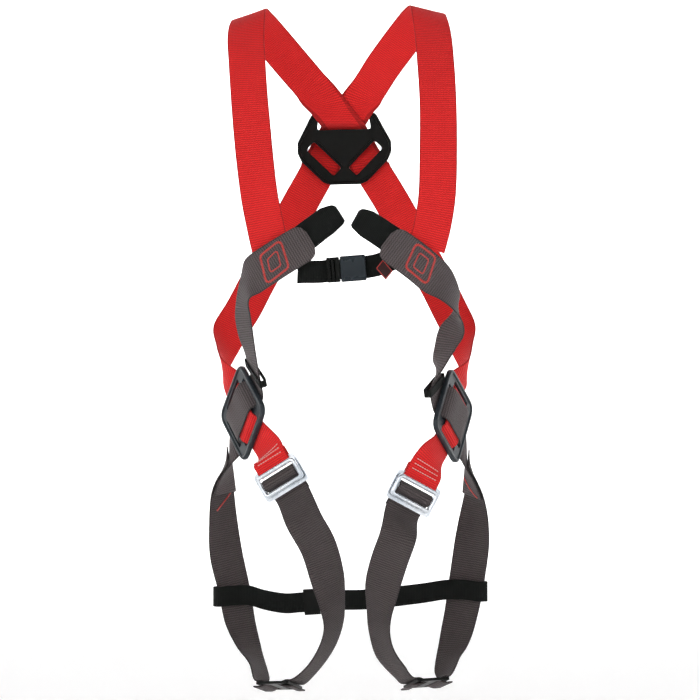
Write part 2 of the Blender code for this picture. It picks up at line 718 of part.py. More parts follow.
def hip_keeper(name, strap_end, hip):
    """Elastic loop that gathers the grey strap just before it enters the hip plate."""
    low, low_across = strap_end[0], strap_end[1]
    entry = hip.centre - hip.q * 43 - hip.out * 4.9
    across = (low_across + hip.p).normalized()
    centre = low * 0.68 + entry * 0.32 + across * 3.4 - hip.out * 1.4
    band(name, "black_webbing", centre, entry - low, across, (27.0, 3.9), (29.2, 4.9), 5)


LINK = [
    station(-124, 71.5, -731, 0, 0.05, 1),
    station(-141, 64.6, -731, 0, 0.05, 1),
    station(-157, 55.6, -732, 0, 0.05, 1),
    station(-164.6, 47.0, -732, 0, 0, 1),
    station(-158, 38.6, -732, 0, 0, 1),
    station(-142, 45.0, -731, 0, 0, 1),
    station(-122, 52.0, -731, 0, 0, 1),
    station(-102, 50.0, -736.5, 0, 0, 1),
    station(-75, 44.6, -740.5, 0, 0, 1),
    station(-58.5, 42.3, -739.25, 0, 0, 1),
    station(-42, 40, -738, 0, 0, 1),
    station(-10, 35.5, -735.6, 0, 0, 1),
    station(22, 35, -735, 0, 0, 1),
    station(62, 40, -731.5, 0, 0, 1),
    station(96, 47, -728, 0, 0, 1),
    station(126, 52.0, -724, 0, 0, 1),
    station(148, 49.8, -724, 0, 0, 1),
    station(167, 44.0, -726, 0, 0, 1),
    station(175.6, 49.0, -726, 0, 0, 1),
    station(168, 62.5, -726, 0, 0, 1),
    station(148, 67.0, -725, 0, 0, 1),
    station(130, 71.0, -725, 0, 0, 1),
]


def build_webbing():
    shoulder_strap("right_shoulder_strap", RIGHT_FRONT, RIGHT_BACK, RIGHT_DORSAL, LEFT_FLANK, LEFT_HIP,
                   LEFT_THIGH, LEFT_BUCKLE)
    shoulder_strap("left_shoulder_strap", LEFT_FRONT, LEFT_BACK, LEFT_DORSAL, RIGHT_FLANK, RIGHT_HIP,
                   RIGHT_THIGH, RIGHT_BUCKLE)
    side_strap("right_side_strap", RIGHT_SIDE, RIGHT_HIP, RIGHT_REAR_TOP)
    side_strap("left_side_strap", LEFT_SIDE, LEFT_HIP, LEFT_REAR_TOP)
    rear_leg_strap("right_rear_leg_strap", -1, RIGHT_REAR_TOP, RIGHT_REAR_LEG, RIGHT_ADJUSTER)
    rear_leg_strap("left_rear_leg_strap", 1, LEFT_REAR_TOP, LEFT_REAR_LEG, LEFT_ADJUSTER)
    front_leg_strap("right_front_leg_strap", RIGHT_BUCKLE, RIGHT_FRONT_LEG, RIGHT_ADJUSTER)
    front_leg_strap("left_front_leg_strap", LEFT_BUCKLE, LEFT_FRONT_LEG, LEFT_ADJUSTER)
    ribbon("right_chest_loop", "black_webbing", RIGHT_LOOP, SLEEVE_WIDTH, SLEEVE_THICK)
    ribbon("left_chest_loop", "black_webbing", LEFT_LOOP, SLEEVE_WIDTH, SLEEVE_THICK)
    ribbon("right_chest_strap", "black_webbing", RIGHT_CHEST_STRAP, CHEST_STRAP_WIDTH)
    ribbon("left_chest_strap", "black_webbing", LEFT_CHEST_STRAP, CHEST_STRAP_WIDTH)
    ribbon("leg_link_strap", "black_webbing", LINK, LINK_STRAP_WIDTH)
    tab = [station(40, -105.2, -322, -0.62, 0, -0.78), station(46, -105.4, -329, -0.62, 0, -0.78),
           station(52, -105.6, -336, -0.62, 0, -0.78)]
    ribbon("size_tab", "label_cloth", tab, 14, 1.0, 1)


def main():
    clear_scene()
    build_webbing()
    dorsal_plate()
    dorsal_ring()
    RIGHT_HIP.build("right_hip_plate")
    LEFT_HIP.build("left_hip_plate")
    hip_keeper("right_hip_keeper", RIGHT_SIDE[-1], RIGHT_HIP)
    hip_keeper("left_hip_keeper", LEFT_SIDE[-1], LEFT_HIP)
    RIGHT_BUCKLE.build("right_thigh_buckle")
    LEFT_BUCKLE.build("left_thigh_buckle")
    RIGHT_ADJUSTER.build("right_leg_adjuster")
    LEFT_ADJUSTER.build("left_leg_adjuster")
    chest_buckle()
    band("link_slider", "black_plastic", (-42, 40, -738), (1, -0.139, 0.0757), (-0.0757, 0, 1), (13.0, 2.0),
         (16.0, 4.4), 20, (-42, 40, -738))


main()
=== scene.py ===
"""Looks of the full-body harness: woven straps, stitching, moulded plates and zinc-plated steel."""

import math

import bmesh
import bpy
import numpy as np
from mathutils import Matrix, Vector


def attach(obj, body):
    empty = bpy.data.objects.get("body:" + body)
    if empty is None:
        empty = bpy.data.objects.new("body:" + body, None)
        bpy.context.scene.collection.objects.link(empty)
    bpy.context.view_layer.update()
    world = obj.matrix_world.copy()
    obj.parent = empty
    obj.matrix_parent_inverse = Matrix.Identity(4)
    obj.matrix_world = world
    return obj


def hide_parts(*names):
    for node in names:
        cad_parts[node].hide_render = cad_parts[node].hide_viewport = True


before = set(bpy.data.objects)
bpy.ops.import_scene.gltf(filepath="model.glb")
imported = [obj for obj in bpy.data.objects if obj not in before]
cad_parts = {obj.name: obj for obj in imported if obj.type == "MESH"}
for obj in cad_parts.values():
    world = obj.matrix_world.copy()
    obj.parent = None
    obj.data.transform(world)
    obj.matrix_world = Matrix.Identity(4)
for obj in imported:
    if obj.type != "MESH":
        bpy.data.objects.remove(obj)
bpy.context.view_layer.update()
MM = 0.001
WEBBING = "webbing"


# ---------------------------------------------------------------- node helpers

class Shader:
    """A short way to write a node tree that ends in one Principled BSDF."""

    def __init__(self, name):
        self.material = bpy.data.materials.new(name)
        self.material.use_nodes = True
        self.tree = self.material.node_tree
        self.surface = self.tree.nodes["Principled BSDF"]

    def node(self, kind, **values):
        made = self.tree.nodes.new("ShaderNode" + kind)
        for key, value in values.items():
            setattr(made, key, value)
        return made

    def put(self, socket, value):
        if isinstance(value, bpy.types.NodeSocket):
            self.tree.links.new(value, socket)
        elif value is not None:
            socket.default_value = value

    def math(self, operation, a, b=None, *, clamp=False):
        made = self.node("Math", operation=operation, use_clamp=clamp)
        self.put(made.inputs[0], a)
        self.put(made.inputs[1], b)
        return made.outputs[0]

    def smooth(self, value, low, high):
        made = self.node("MapRange", interpolation_type="SMOOTHSTEP")
        self.put(made.inputs["Value"], value)
        made.inputs["From Min"].default_value = low
        made.inputs["From Max"].default_value = high
        return made.outputs[0]

    def mix(self, factor, a, b):
        made = self.node("Mix", data_type="RGBA")
        self.put(made.inputs[0], factor)
        self.put(made.inputs[6], a)
        self.put(made.inputs[7], b)
        return made.outputs[2]

    def noise(self, scale, detail):
        made = self.node("TexNoise")
        made.inputs["Scale"].default_value = scale
        made.inputs["Detail"].default_value = detail
        made.inputs["Roughness"].default_value = 0.55
        self.put(made.inputs["Vector"], self.node("TexCoord").outputs["Object"])
        return made.outputs[0]

    def uv(self):
        made = self.node("SeparateXYZ")
        self.tree.links.new(self.node("UVMap", uv_map="UVMap").outputs[0], made.inputs[0])
        return made.outputs[0], made.outputs[1]

    def bump(self, height, distance, strength=1.0, under=None):
        made = self.node("Bump")
        made.inputs["Strength"].default_value = strength
        made.inputs["Distance"].default_value = distance
        self.put(made.inputs["Height"], height)
        if under is not None:
            self.put(made.inputs["Normal"], under)
        return made.outputs[0]

    def rounded(self, radius):
        made = self.node("Bevel", samples=6)
        made.inputs["Radius"].default_value = radius
        return made.outputs[0]

    def edge_of(self, soft):
        """1 on the rounded edges, where the softened normal leaves the face's own, and 0 on the flats."""
        dot = self.node("VectorMath", operation="DOT_PRODUCT")
        self.tree.links.new(soft, dot.inputs[0])
        self.tree.links.new(self.node("NewGeometry").outputs["Normal"], dot.inputs[1])
        return self.smooth(self.math("SUBTRACT", 1.0, dot.outputs["Value"]), 0.02, 0.22)

    def finish(self, colour, rough, normal=None, **sockets):
        self.put(self.surface.inputs["Base Color"], colour)
        self.put(self.surface.inputs["Roughness"], rough)
        if normal is not None:
            self.put(self.surface.inputs["Normal"], normal)
        for key, value in sockets.items():
            self.put(self.surface.inputs[key.replace("_", " ")], value)
        return self.material


def rgb(r, g, b):
    return (r, g, b, 1.0)


# ---------------------------------------------------------------- materials

SELVEDGE = (0.0204, 0.0224)     # distance from the middle of a 45 mm strap, in metres
FUZZ_HEIGHT = 0.00006


def webbing(name, dark, light, edge, rib=2.7, warp=1.8, depth=0.00050, sheen=0.08, gloss=0.18):
    """Woven strap. The UV map is in metres: u runs across the strap, v along it."""
    s = Shader(name)
    u, v = s.uv()
    column = s.math("MULTIPLY", u, 1000 / warp)
    odd = s.math("MULTIPLY", s.math("FLOOR", s.math("MODULO", s.math("ADD", column, 400.0), 2.0)), 0.16)
    wobble = s.math("MULTIPLY", s.noise(260.0, 2.0), 0.35)
    row = s.math("ADD", s.math("ADD", s.math("MULTIPLY", v, 1000 / rib), odd), wobble)
    weft = s.math("ABSOLUTE", s.math("SINE", s.math("MULTIPLY", row, math.pi)))
    yarn = s.math("ABSOLUTE", s.math("SINE", s.math("MULTIPLY", column, math.pi)))
    ribs = s.math("POWER", weft, 0.7)
    height = s.math("MULTIPLY", ribs, s.math("ADD", s.math("MULTIPLY", yarn, 0.28), 0.72))
    broad = s.noise(14.0, 4.0)
    fine = s.noise(900.0, 2.0)
    tone = s.math("ADD", s.math("MULTIPLY", height, 0.95), s.math("MULTIPLY", fine, 0.25))
    colour = s.mix(s.math("MULTIPLY", tone, 1.0, clamp=True), dark, light)
    colour = s.mix(s.smooth(broad, 0.35, 0.72), colour, s.mix(0.16, colour, light))
    selvedge = s.smooth(s.math("ABSOLUTE", u), *SELVEDGE)
    colour = s.mix(s.math("MULTIPLY", selvedge, 0.55), colour, edge)
    rough = s.math("ADD", 0.62, s.math("MULTIPLY", fine, 0.25))
    normal = s.bump(height, depth, 0.9)
    normal = s.bump(fine, FUZZ_HEIGHT, 0.35, normal)
    return s.finish(colour, rough, normal, Sheen_Weight=sheen, Sheen_Roughness=0.45, Specular_IOR_Level=gloss)


EDGE_RADIUS = 0.0007
GRAIN_HEIGHT = 0.00005


def plastic(name, dark, light, rough, gloss=0.3):
    """Injection-moulded part: fine spark-eroded grain, and a painted highlight that makes its rounded edges a
    little brighter.
    """
    s = Shader(name)
    soft = s.rounded(EDGE_RADIUS)
    broad = s.noise(38.0, 4.0)
    grainy = s.noise(1900.0, 2.0)
    painted_edge_highlight = s.edge_of(soft)
    colour = s.mix(broad, dark, light)
    # painted highlight: the rounded edges are mixed halfway towards a colour a little over twice as bright
    edge_highlight_colour = rgb(*(c * 2.2 + 0.012 for c in light[:3]))
    colour = s.mix(s.math("MULTIPLY", painted_edge_highlight, 0.5), colour, edge_highlight_colour)
    normal = s.bump(grainy, GRAIN_HEIGHT, 0.7, soft)
    roughness = s.math("ADD", rough - 0.06, s.math("MULTIPLY", broad, 0.14))
    return s.finish(colour, roughness, normal, Specular_IOR_Level=gloss)


def steel(name):
    """Bright zinc plate with a faint blue cast and fine rubbing marks."""
    s = Shader(name)
    broad = s.noise(26.0, 3.0)
    marks = s.noise(140.0, 4.0)
    colour = s.mix(s.smooth(broad, 0.35, 0.7), rgb(0.60, 0.65, 0.71), rgb(0.84, 0.87, 0.91))
    rough = s.math("ADD", 0.20, s.math("MULTIPLY", marks, 0.14))
    normal = s.bump(marks, 0.00002, 0.25)
    return s.finish(colour, rough, normal, Metallic=1.0)


def thread(name, dark, light):
    """Twisted sewing thread."""
    s = Shader(name)
    twist = s.noise(1500.0, 2.0)
    colour = s.mix(twist, dark, light)
    normal = s.bump(twist, 0.00008, 0.8)
    return s.finish(colour, 0.55, normal, Sheen_Weight=0.4, Specular_IOR_Level=0.35)


RED = webbing("red_webbing_look", rgb(0.30, 0.006, 0.007), rgb(0.86, 0.026, 0.026),
              rgb(0.20, 0.008, 0.008))
GREY = webbing("grey_webbing_look", rgb(0.006, 0.005, 0.005), rgb(0.118, 0.097, 0.098),
               rgb(0.020, 0.017, 0.017), rib=3.0, depth=0.00060)
LEG_GREY = webbing("leg_webbing_look", rgb(0.006, 0.005, 0.005), rgb(0.090, 0.074, 0.074),
                   rgb(0.016, 0.013, 0.013), rib=2.8, depth=0.00055)
BLACK = webbing("black_webbing_look", rgb(0.0010, 0.0012, 0.0011), rgb(0.0085, 0.0100, 0.0090),
                rgb(0.004, 0.004, 0.004), rib=2.0, warp=1.5, depth=0.00030, sheen=0.02, gloss=0.12)
BLACK_PLASTIC = plastic("black_plastic_look", rgb(0.0015, 0.0020, 0.0015), rgb(0.0032, 0.0040, 0.0032), 0.34,
                        gloss=0.13)
SLATE = plastic("slate_plastic_look", rgb(0.018, 0.024, 0.029), rgb(0.028, 0.036, 0.043), 0.38)
SOCKET = plastic("socket_plastic_look", rgb(0.009, 0.014, 0.018), rgb(0.016, 0.023, 0.029), 0.26,
                 gloss=0.25)
STEEL = steel("zinc_steel_look")
LABEL = webbing("label_look", rgb(0.012, 0.006, 0.006), rgb(0.045, 0.016, 0.016), rgb(0.05, 0.01, 0.01),
                rib=0.7, warp=0.7, depth=0.00006)
RED_THREAD = thread("red_thread_look", rgb(0.50, 0.018, 0.014), rgb(0.86, 0.055, 0.045))
PALE_THREAD = thread("pale_thread_look", rgb(0.62, 0.30, 0.27), rgb(0.90, 0.62, 0.58))
DARK_THREAD = thread("dark_thread_look", rgb(0.012, 0.010, 0.010), rgb(0.06, 0.05, 0.05))


# ---------------------------------------------------------------- straps: where they run (millimetres)

def station(x, y, z, ax, ay, az, width=None):
    """A point of a strap's centre line, with the direction across the strap."""
    across = Vector((ax, ay, az)).normalized()
    return (Vector((x, y, z)), across, width)


def turned(stations):
    """The same stations with the two edges exchanged."""
    return [(point, -across, width) for point, across, width in stations]


def matched(stations, across):
    """The stations with their edges in the same order as the given direction."""
    return [(p, a if a.dot(across) > 0 else -a, w) for p, a, w in stations]


def lapped(stations, gap, away):
    """The stations moved off their own surface, so that a second strap can lie against the first."""
    moved = []
    for i, (point, across, width) in enumerate(stations):
        run = stations[min(i + 1, len(stations) - 1)][0] - stations[max(i - 1, 0)][0]
        normal = run.cross(across).normalized()
        if normal.dot(Vector(away)) < 0:
            normal = -normal
        moved.append((point + normal * gap, across, width))
    return moved


def path_in_plane(origin, along, out, across, points):
    """Stations of a strap that bends in one plane, given as (distance along, distance out)."""
    made = []
    for a, n in points:
        made.append((origin + along * a + out * n, across.normalized(), None))
    return made


class HipPlate:
    """The plate at one hip: p runs along the red strap, q along the grey strap, n outwards."""

    def __init__(self, side, centre, turn, lean):
        self.centre = Vector(centre)
        turn = math.radians(turn)
        lean = math.radians(lean)
        self.out = Vector((side * math.sin(turn), -math.cos(turn), 0))
        front = Vector((-side * math.cos(turn), -math.sin(turn), 0))
        up = Vector((0, 0, 1))
        self.p = front * math.sin(lean) - up * math.cos(lean)
        self.q = -front * math.cos(lean) - up * math.sin(lean)

    def red_path(self):
        """From behind the upper rear bar, over the centre, to behind the lower front bar."""
        points = [(-52, -5.2), (-43, -4.8), (-36, -4.2), (-31.5, 0), (-27, 4.0), (-20, 4.6), (0, 4.6),
                  (20, 4.6), (27, 4.0), (31.5, 0), (36, -4.2), (43, -4.8)]
        return path_in_plane(self.centre, self.p, self.out, self.q, points)

    def grey_path(self):
        """From behind the upper front bar, over the red strap, to behind the lower rear bar."""
        points = [(-43, -4.9), (-36, -4.6), (-31.6, 0), (-27.6, 5.2), (-20, 7.6), (0, 7.6),
                  (20, 7.6), (27.6, 5.2), (31.6, 0), (36, -4.6), (43, -4.9)]
        return path_in_plane(self.centre, self.q, self.out, self.p, points)


class ThighBuckle:
    """Two steel frames: u runs across the webbing, v down the thigh, n outwards."""

    def __init__(self, centre, across, out):
        self.centre = Vector(centre)
        self.out = Vector(out).normalized()
        self.u = (Vector(across) - self.out * Vector(across).dot(self.out)).normalized()
        self.v = self.out.cross(self.u)
        if self.v.z > 0:
            self.v = -self.v

    def red_path(self):
        points = [(-28, -4.2), (-20, -3.6), (-15.4, -3.4), (-11.9, -4.0), (-10.9, -7.0),
                  (-11.9, -10.0), (-15.4, -10.9), (-21, -10.8), (-32, -10.4)]
        return path_in_plane(self.centre, self.v, self.out, self.u, points)

    def grey_path(self):
        points = [(26, -13.6), (15.5, -12.6), (10.2, -9.4), (7.2, -4.6), (5.2, 0.4), (0, 4.1),
                  (-5.2, 0.4), (-6.4, -5.6), (-3.4, -12.6), (4, -16.2), (16, -17), (26, -18)]
        return path_in_plane(self.centre, self.v, self.out, self.u, points)


class LegAdjuster:
    """The bar slide under the thigh where the two leg straps meet: u to the inner thigh."""

    def __init__(self, centre, along, across):
        self.centre = Vector(centre)
        self.u = Vector(along).normalized()
        across = Vector(across)
        self.w = (across - self.u * across.dot(self.u)).normalized()
        self.up = self.u.cross(self.w)
        if self.up.z < 0:
            self.up = -self.up

    def strap_path(self, end):
        """Over the outer bar, down through the slot and back under it; end is -1 or +1."""
        points = [(end * 24, 4.2), (end * 16, 3.6), (end * 9.6, 0.0),
                  (end * 16, -3.6), (end * 26, -3.8)]
        return path_in_plane(self.centre, self.u, self.up, self.w, points)


RIGHT_HIP = HipPlate(-1, (-126, -15, -502), 62, 50)
LEFT_HIP = HipPlate(1, (131, -15, -506), 65, 36)
RIGHT_BUCKLE = ThighBuckle((-80, -72, -579), (-0.83, 0.22, -0.52), (-0.25, -0.96, 0.0))
LEFT_BUCKLE = ThighBuckle((83, -72, -598), (0.83, 0.22, -0.46), (0.22, -0.97, 0.0))
RIGHT_ADJUSTER = LegAdjuster((-82, 4, -838), (0.93, -0.32, 0.05), (0.28, 0.93, -0.24))
LEFT_ADJUSTER = LegAdjuster((99, 6, -835), (-0.92, -0.34, -0.02), (-0.30, 0.90, -0.26))

RIGHT_FRONT = [
    station(-89, -103.2, -308, 0.97, 0, 0.24),
    station(-95.5, -102.4, -280, 0.98, 0, 0.20),
    station(-103, -99, -243, 0.99, 0, 0.14),
    station(-109, -91, -197, 1, 0, 0.10),
    station(-116, -74, -124, 1, 0, 0.06),
    station(-120, -52, -73, 1, 0, 0.04),
    station(-122, -34, -45, 1, -0.02, 0.05),
    station(-121, -15, -23, 0.98, -0.16, 0.16),
    station(-118, 6, -12, 0.906, -0.305, 0.290),
]
RIGHT_BACK = [
    station(-110, 28, -19, 0.84, -0.26, 0.47),
    station(-95, 52, -35, 0.80, -0.12, 0.58),
    station(-68, 80, -65, 0.77, -0.04, 0.64),
    station(-45, 91.5, -91, 0.77, 0, 0.64),
]
RIGHT_DORSAL = [
    station(-13.4, 98.6, -129, 1, 0, 0, 58),
    station(-8.4, 99.4, -135, 1, 0, 0, 58),
    station(-4.3, 104.5, -140, 1, 0, 0, 58),
    station(-1, 111, -144.5, 1, 0, 0, 57),
    station(3, 116.4, -150, 1, 0, 0, 56),
    station(7, 118.6, -157, 1, 0, 0, 55),
    station(13, 117, -167, 1, 0, 0, 54),
    station(24, 112.4, -183, 1, 0, 0, 53),
]
LEFT_FLANK = [
    station(37, 111, -203, -0.87, 0.06, -0.49),
    station(59, 108, -239, -0.87, 0.10, -0.48),
    station(87, 99, -291, -0.88, 0.10, -0.47),
    station(117, 86, -347, -0.88, 0.14, -0.45),
    station(131, 76, -376, -0.87, 0.20, -0.45),
    station(143, 64, -402, -0.82, 0.36, -0.45),
    station(147.5, 49, -427, -0.45, 0.74, -0.50),
    station(150, 31, -452, 0.0, 0.80, -0.60),
]
LEFT_FRONT = [
    station(96.5, -103.2, -303, -0.95, 0, 0.30),
    station(103, -102.4, -279, -0.97, 0, 0.22),
    station(109, -98, -242, -0.99, 0, 0.10),
    station(111, -89, -185, -1, 0, 0.00),
    station(111, -73, -124, -1, 0, 0.00),
    station(108, -47, -63, -1, 0, 0.02),
    station(106, -30, -37, -1, -0.02, 0.05),
    station(103, -12, -17, -0.98, -0.12, 0.12),
    station(100, 7, -6, -0.95, -0.21, 0.21),
]
LEFT_BACK = [
    station(92, 28, -12, -0.90, -0.18, 0.38),
    station(79, 50, -27, -0.86, -0.10, 0.50),
    station(46, 82, -69, -0.83, -0.04, 0.555),
    station(28, 97, -96, -0.83, 0, 0.555),
]
LEFT_DORSAL = [
    station(5.5, 101.4, -127, -1, 0, 0, 55),
    station(2.2, 101.8, -132, -1, 0, 0, 55),
    station(-1, 106.6, -137.4, -1, 0, 0, 55),
    station(-4.5, 114.2, -142, -1, 0, 0, 55),
    station(-8, 119.4, -148, -1, 0, 0, 55),
    station(-13, 121.6, -157, -1, 0, 0, 55),
    station(-19, 120.2, -167, -1, 0, 0, 54),
    station(-28, 115.6, -183, -1, 0, 0, 53),
]
RIGHT_FLANK = [
    station(-38, 111, -203, 0.87, 0.06, -0.49),
    station(-58, 108, -239, 0.87, 0.10, -0.48),
    station(-82, 99, -285, 0.88, 0.10, -0.47),
    station(-110, 86, -337, 0.88, 0.16, -0.46),
    station(-129, 75, -374, 0.88, 0.20, -0.45),
    station(-146, 62, -403, 0.85, 0.30, -0.45),
    station(-151, 48, -428, 0.45, 0.76, -0.48),
    station(-152.5, 31, -450, 0.0, 0.80, -0.60),
]
RIGHT_THIGH = [station(-93.5, -54, -545, -0.55, 0.50, -0.62)]
LEFT_THIGH = [station(104.5, -56, -553, 0.50, 0.55, -0.60)]
RIGHT_SIDE = [
    station(-42, -109.5, -292.5, 0.50, 0, -0.86),
    station(-71, -109.5, -310, 0.53, 0, -0.85),
    station(-93, -109, -324, 0.53, 0, -0.85),
    station(-109, -103, -335, 0.48, -0.20, -0.85),
    station(-119, -93, -348, 0.30, -0.74, -0.60),
    station(-124, -83, -365, 0.34, -0.92, -0.18),
    station(-124, -76, -384, 0.44, -0.90, 0.0),
    station(-121, -67, -405, 0.42, -0.90, 0.04),
    station(-116, -60, -427, 0.32, -0.94, 0.0),
    station(-112.5, -53, -446, 0.32, -0.90, -0.26),
]
LEFT_SIDE = [
    station(48, -110, -293.5, -0.60, 0, -0.80),
    station(67, -109.5, -307, -0.60, 0, -0.80),
    station(86, -109, -321, -0.60, 0, -0.80),
    station(104, -103, -336, -0.60, -0.14, -0.79),
    station(121, -92, -350, -0.44, -0.64, -0.64),
    station(133, -76, -368, -0.20, -0.90, -0.40),
    station(135, -60, -386, 0.25, -0.93, -0.30),
    station(128, -50, -403, 0.62, -0.75, -0.22),
    station(121, -45, -421, 0.55, -0.82, -0.05),
    station(113, -46, -442, 0.28, -0.94, -0.14),
    station(109, -51, -462, -0.28, -0.86, -0.42),
]
RIGHT_REAR_TOP = [
    station(-143, 15, -556, 0.05, -0.88, -0.48),
    station(-148.5, 30, -580, -0.35, -0.88, -0.30),
    station(-151, 41, -604, -0.60, -0.79, -0.12),
]
LEFT_REAR_TOP = [
    station(148.5, 22, -560, -0.05, -0.88, -0.48),
    station(153.5, 33, -583, 0.25, -0.92, -0.32),
    station(157, 42, -607, 0.50, -0.84, -0.18),
]
RIGHT_REAR_LEG = [
    station(-153, 51, -642, 0.76, 0.64, 0.04),
    station(-149.5, 55.5, -681, 0.88, 0.46, -0.05),
    station(-139.5, 57, -725, 0.86, 0.46, -0.22),
    station(-132, 53, -764, 0.83, 0.44, -0.34),
    station(-121, 43, -794, 0.74, 0.52, -0.43),
    station(-107, 26, -823, 0.52, 0.72, -0.46),
]
LEFT_REAR_LEG = [
    station(159, 51, -644, -0.84, 0.54, 0.08),
    station(156, 57, -677, -0.97, 0.22, 0.08),
    station(150, 58, -718, -0.97, 0.20, -0.10),
    station(144, 55, -752, -0.92, 0.34, -0.20),
    station(136, 47, -784, -0.86, 0.38, -0.34),
    station(126, 32, -813, -0.70, 0.56, -0.44),
]
RIGHT_FRONT_LEG = [
    station(-50, -80, -631, 0.86, 0.10, 0.48),
    station(-33.5, -77, -661, 0.87, 0.20, 0.42),
    station(-22.5, -69, -698, 0.86, 0.38, 0.28),
    station(-16, -56, -730, 0.66, 0.75, 0.06),
    station(-14.5, -42, -758, 0.44, 0.88, -0.14),
    station(-23, -29, -787, 0.32, 0.92, -0.22),
    station(-40, -16, -814, 0.22, 0.94, -0.26),
]
LEFT_FRONT_LEG = [
    station(63, -83, -648, -0.86, 0.08, 0.42),
    station(52, -76, -680, -0.90, 0.14, 0.36),
    station(44, -66, -710, -0.90, 0.36, 0.20),
    station(40, -52, -740, -0.66, 0.75, 0.04),
    station(41, -38, -771, -0.50, 0.85, -0.12),
    station(50, -26, -799, -0.44, 0.86, -0.26),
    station(66, -14, -820, -0.30, 0.90, -0.32),
]
RIGHT_LOOP = [
    station(-54, -105.8, -293, -0.54, 0, 0.84),
    station(-44, -106.2, -286, -0.56, 0, 0.83),
    station(-33, -111.0, -278.5, -0.56, 0, 0.83),
    station(-21, -113.2, -270, -0.56, 0, 0.83),
    station(-10, -110.8, -263.6, -0.54, 0, 0.84),
    station(-7.5, -105.4, -263, -0.54, 0, 0.84),
    station(-12, -100.8, -265, -0.54, 0, 0.84),
    station(-23, -99.0, -272, -0.56, 0, 0.83),
    station(-36, -99.2, -282, -0.56, 0, 0.83),
    station(-48, -100.2, -292, -0.56, 0, 0.83),
]
LEFT_LOOP = [
    station(60, -105.8, -296, 0.54, 0, 0.84),
    station(49, -106.2, -289.5, 0.52, 0, 0.85),
    station(37, -111.0, -282, 0.50, 0, 0.86),
    station(25, -113.2, -274.5, 0.48, 0, 0.87),
    station(14.5, -110.8, -268.5, 0.48, 0, 0.87),
    station(12.0, -105.4, -268, 0.48, 0, 0.87),
    station(17, -100.8, -270, 0.48, 0, 0.87),
    station(27, -99.0, -276, 0.48, 0, 0.87),
    station(39, -99.2, -284, 0.50, 0, 0.86),
    station(50, -100.2, -292, 0.52, 0, 0.85),
]
RIGHT_CHEST_STRAP = [
    station(-58, -96, -332, 0.03, 0, 1),
    station(-52, -96.4, -331.5, 0.02, 0, 1),
    station(-40, -97.4, -331.5, 0.02, 0, 1),
    station(-29, -96.0, -331.2, 0.04, 0, 1),
    station(-22, -94.9, -330.4, -0.06, 0, 1),
    station(-9, -94.9, -329.0, -0.08, 0, 1),
]
LEFT_CHEST_STRAP = [
    station(14, -92.9, -326.6, -0.08, 0, 1),
    station(24, -93.0, -325.6, -0.09, 0, 1),
    station(38, -95.4, -323, -0.16, 0, 1),
    station(50, -94.8, -318.5, -0.30, 0, 1),
    station(62, -94.2, -313, -0.40, 0, 1),
]
LINK = [
    station(-124, 71.5, -731, 0, 0.05, 1),
    station(-141, 64.6, -731, 0, 0.05, 1),
    station(-157, 55.6, -732, 0, 0.05, 1),
    station(-164.6, 47.0, -732, 0, 0, 1),
    station(-158, 38.6, -732, 0, 0, 1),
    station(-142, 45.0, -731, 0, 0, 1),
    station(-122, 52.0, -731, 0, 0, 1),
    station(-102, 50.0, -736.5, 0, 0, 1),
    station(-75, 44.6, -740.5, 0, 0, 1),
    station(-58.5, 42.3, -739.25, 0, 0, 1),
    station(-42, 40, -738, 0, 0, 1),
    station(-10, 35.5, -735.6, 0, 0, 1),
    station(22, 35, -735, 0, 0, 1),
    station(62, 40, -731.5, 0, 0, 1),
    station(96, 47, -728, 0, 0, 1),
    station(126, 52.0, -724, 0, 0, 1),
    station(148, 49.8, -724, 0, 0, 1),
    station(167, 44.0, -726, 0, 0, 1),
    station(175.6, 49.0, -726, 0, 0, 1),
    station(168, 62.5, -726, 0, 0, 1),
    station(148, 67.0, -725, 0, 0, 1),
    station(130, 71.0, -725, 0, 0, 1),
]


# ---------------------------------------------------------------- straps: the woven bands themselves

HALF_SECTION = [0.24, 0.48, 0.72, 0.90, 0.955, 0.985, 1.0]
SECTION = [-s for s in reversed(HALF_SECTION)] + [0.0] + HALF_SECTION
FLAT_TO = 0.93                  # the band is flat to here and rounded from here to its edge
START_HOLD, END_HOLD, HOLD_FADE = 62, 48, 30    # lengths kept as placed at a squared strap's ends


def half_thickness(s):
    """Share of the full thickness at a place across the band, from -1 to 1."""
    reach = max(0.0, (abs(s) - FLAT_TO) / 0.07)
    return math.sqrt(max(0.0, 1 - reach * reach))


